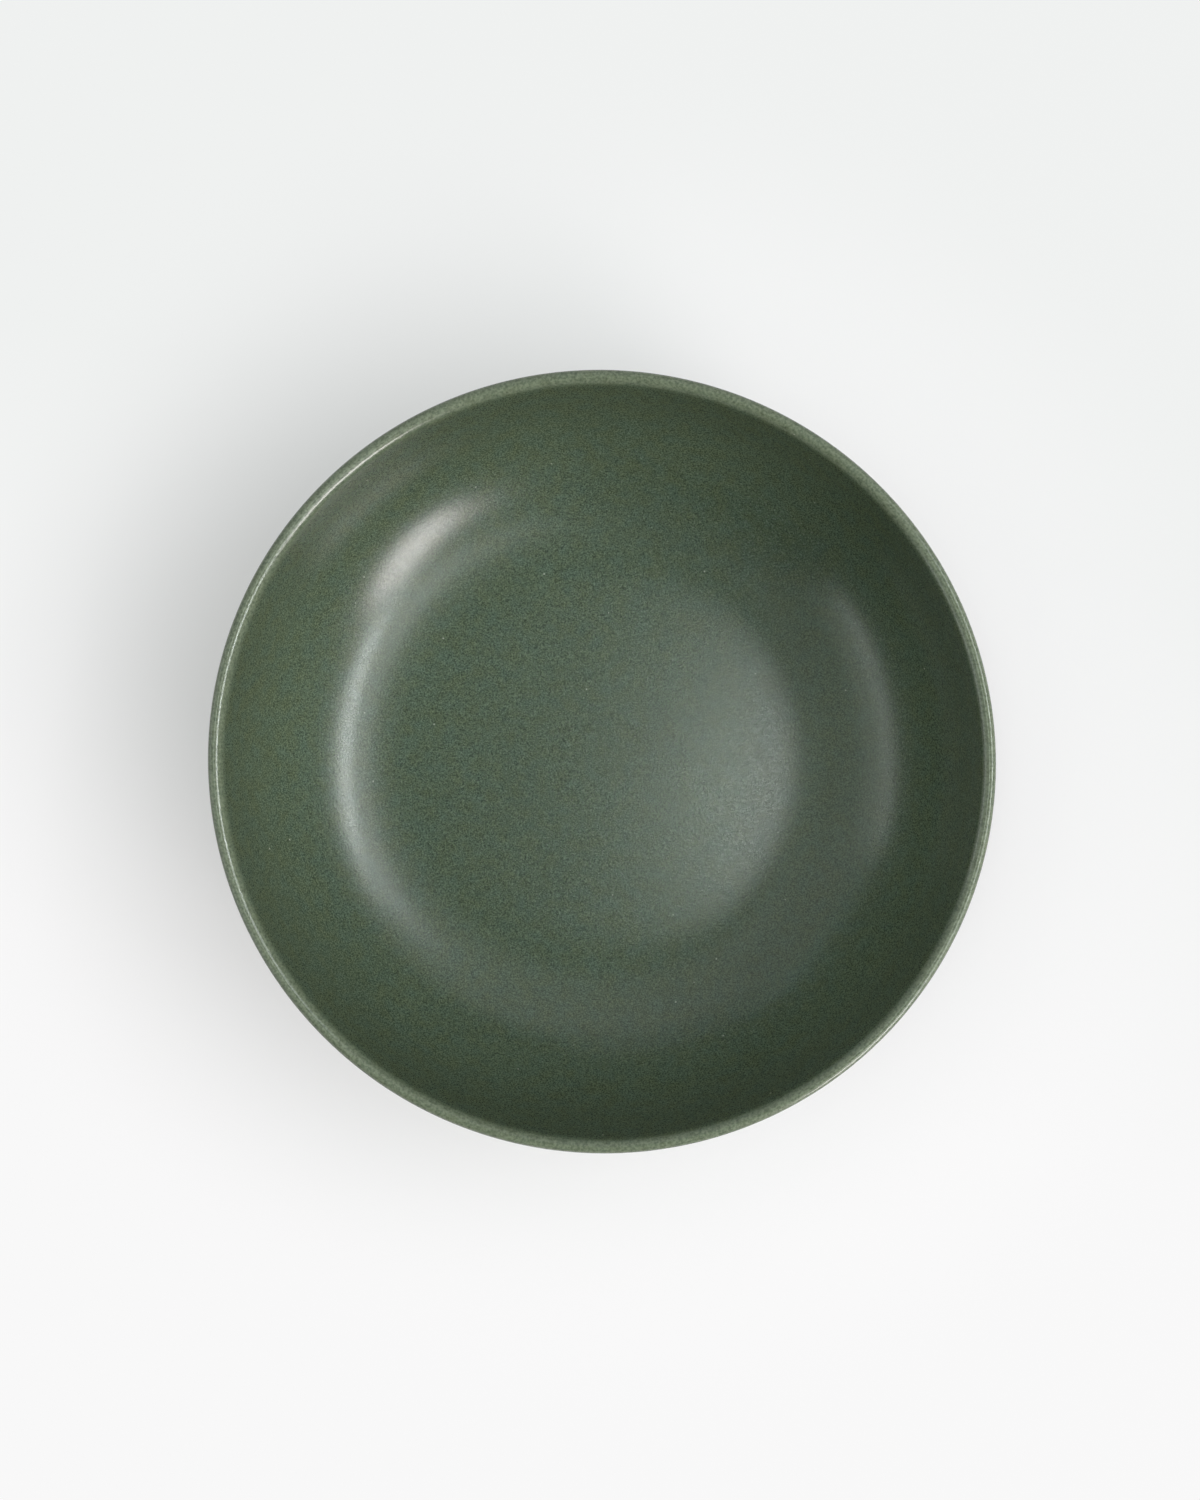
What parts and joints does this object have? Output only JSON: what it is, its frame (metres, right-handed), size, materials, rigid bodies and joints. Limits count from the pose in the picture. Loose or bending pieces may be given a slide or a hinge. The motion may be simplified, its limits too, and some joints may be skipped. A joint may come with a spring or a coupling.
{
  "type": "salad bowl",
  "caption": "Wide round stoneware salad bowl with a rounded lip, curved cove, bare foot ring and a mottled satin green glaze inside and out.",
  "frame": {"origin": "centre of the foot ring, on the plane that the bowl stands on", "axes": "+Z up along the bowl's axis, out of its mouth; +X to the right and +Y up in the picture"},
  "size_m": [0.25, 0.25, 0.072],
  "materials": {
    "fired_clay": "bare fired stoneware, matt and slightly sandy",
    "green_glaze": "satin reactive glaze, mottled forest green"
  },
  "bodies": {
    "root": {"stoneware_body": "fired_clay", "glaze_coat": "green_glaze", "well_glaze": "green_glaze"}
  },
  "joints": []
}
